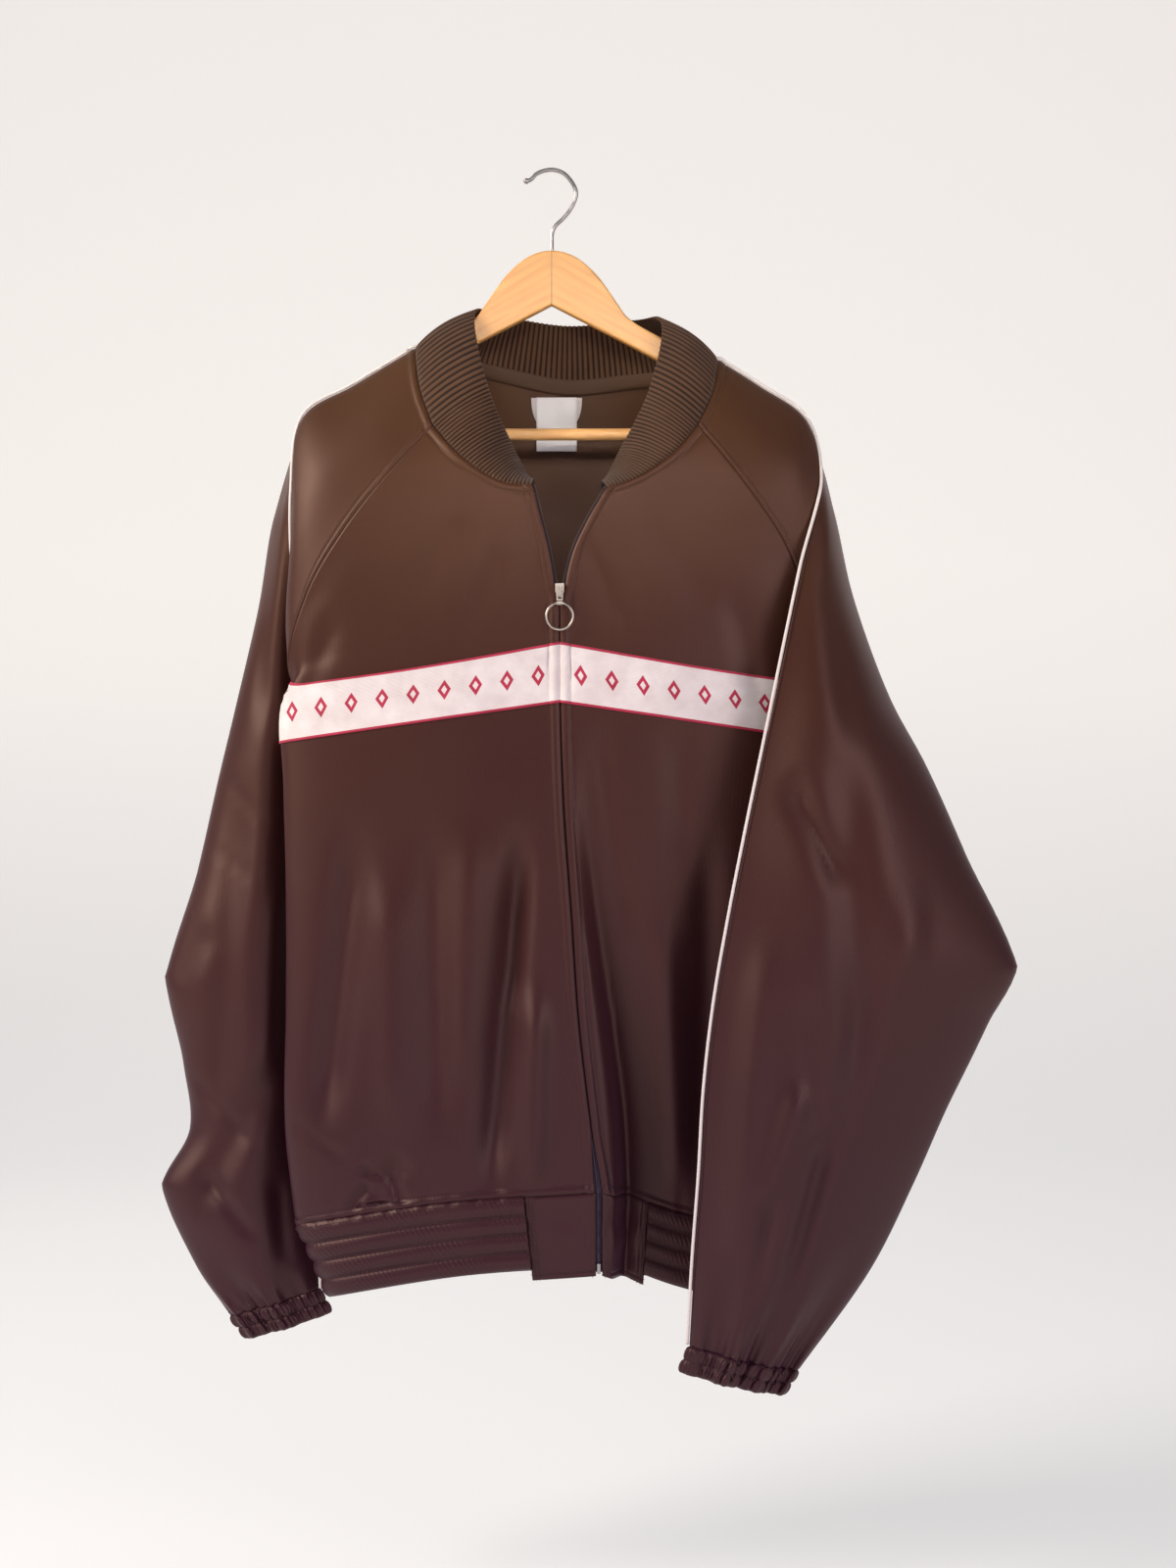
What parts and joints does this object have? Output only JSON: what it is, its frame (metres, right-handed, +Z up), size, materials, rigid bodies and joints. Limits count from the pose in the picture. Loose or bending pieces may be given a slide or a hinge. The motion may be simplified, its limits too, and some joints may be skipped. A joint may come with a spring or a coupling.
{
  "type": "track jacket on a wooden hanger",
  "caption": "Zip-front raglan track jacket with rib collar, gathered cuffs and stitched elastic hem, hanging on a flat wooden hanger with a trouser bar and a wire hook.",
  "frame": {"origin": "inner top of the hanger's hook, where a rail carries it", "axes": "+Z up, the front faces -Y, +X is the wearer's left"},
  "size_m": [0.7064, 0.2155, 1.0234],
  "materials": {
    "jersey": "smooth tricot jersey with a soft sheen",
    "rib_knit": "matte rib knit",
    "white_trim": "matte woven tape",
    "label_satin": "satin",
    "zip_tape": "woven tape",
    "zip_metal": "plated",
    "hook_steel": "bright wire",
    "beech": "clear lacquer"
  },
  "bodies": {
    "garment": {"front_right": "jersey", "front_left": "jersey", "back_panel": "jersey", "sleeve_right_front": "jersey", "sleeve_right_back": "jersey", "sleeve_left_front": "jersey", "sleeve_left_back": "jersey", "collar_rib": "rib_knit", "hem_band": "jersey", "hem_tab_right": "jersey", "hem_tab_left": "jersey", "cuff_right": "jersey", "cuff_left": "jersey", "piping_right": "white_trim", "piping_left": "white_trim", "chest_tape_right": "white_trim", "chest_tape_left": "white_trim", "zip_tape_right": "zip_tape", "zip_tape_left": "zip_tape", "zip_slider": "zip_metal", "zip_end_box": "zip_metal", "neck_tape": "rib_knit", "neck_label": "label_satin", "hang_loop": "white_trim", "hanger_wood": "beech", "hanger_bar": "beech", "hanger_hook": "hook_steel"},
    "pull_link": {"zip_pull_link": "zip_metal"},
    "pull_ring": {"zip_pull_ring": "zip_metal"}
  },
  "joints": [
    {"name": "link_swing", "type": "hinge", "parent": "garment", "child": "pull_link", "pos_m": [0.0074, -0.0656, -0.3595], "axis": [-1, 0, 0], "range_deg": [0, 120]},
    {"name": "ring_swing", "type": "hinge", "parent": "pull_link", "child": "pull_ring", "pos_m": [0.0074, -0.0656, -0.3693], "axis": [-1, 0, 0], "range_deg": [0, 60]}
  ]
}
